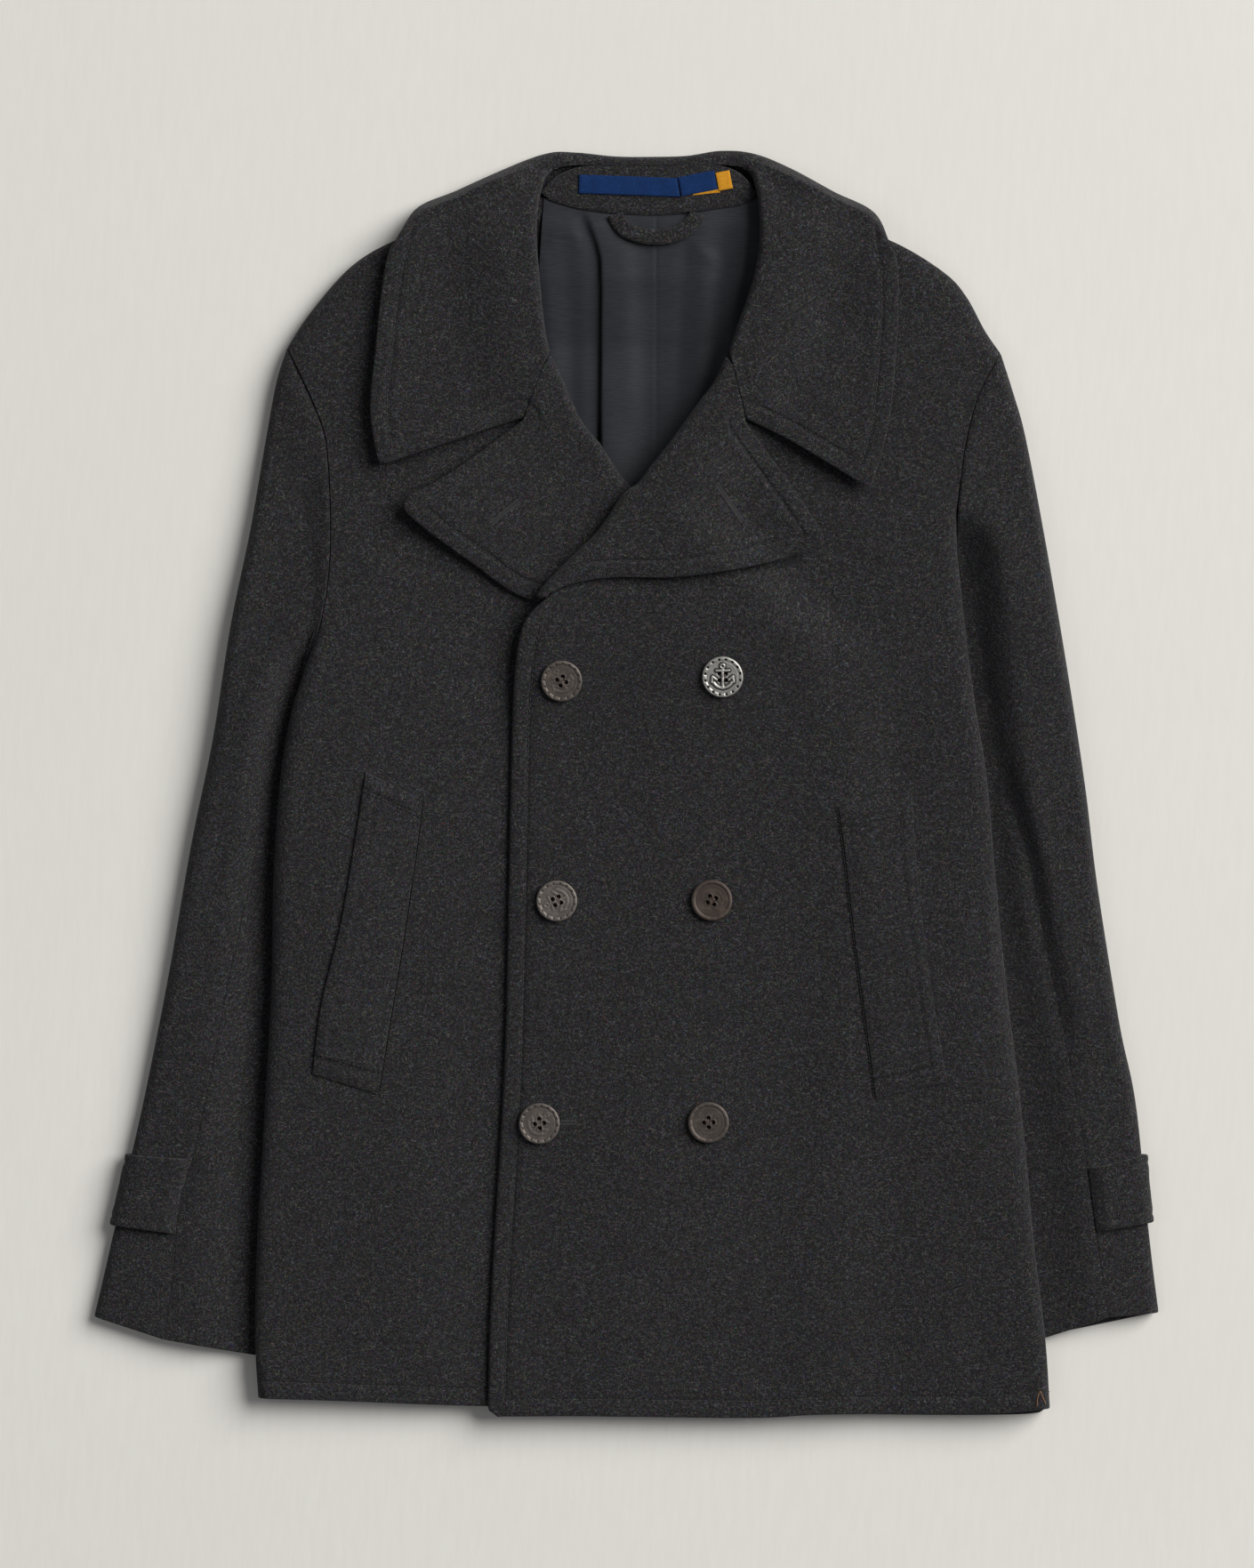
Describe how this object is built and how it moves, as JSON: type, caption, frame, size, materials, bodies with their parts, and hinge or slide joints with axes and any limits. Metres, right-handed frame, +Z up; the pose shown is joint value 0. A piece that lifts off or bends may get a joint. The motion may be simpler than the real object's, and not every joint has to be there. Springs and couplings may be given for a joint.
{
  "type": "double-breasted pea coat",
  "caption": "Double-breasted wool pea coat laid flat on its back, with wide notched lapels, slanted welt pockets and buttoned front.",
  "frame": {"origin": "middle of the coat's bounding box in plan, at the height of its lowest side, where its back lies on the surface", "axes": "+Y from the hem to the collar, +X to the wearer's left (the viewer's right), +Z up out of the front of the coat"},
  "size_m": [0.7172, 0.8544, 0.0378],
  "materials": {
    "wool": "charcoal heathered wool melton, dull and slightly hairy",
    "lining": "dark navy satin lining with a soft shine",
    "pewter": "dark antiqued pewter",
    "label_blue": "blue woven label, bare",
    "label_yellow": "yellow woven label, bare"
  },
  "bodies": {
    "root": {"back": "wool", "back_lining": "lining", "front_right": "wool", "front_left": "wool", "lapel_right": "wool", "lapel_left": "wool", "collar": "wool", "collar_stand": "wool", "topsleeve_right": "wool", "undersleeve_right": "wool", "topsleeve_left": "wool", "undersleeve_left": "wool", "cuff_tab_right": "wool", "cuff_tab_left": "wool", "pocket_welt_right": "wool", "pocket_welt_left": "wool", "hanger_loop": "wool", "maker_label": "label_blue", "size_label": "label_blue", "size_tab": "label_yellow", "button_1": "pewter", "button_2": "pewter", "button_3": "pewter", "button_4": "pewter", "button_5": "pewter", "button_6": "pewter"}
  },
  "joints": []
}
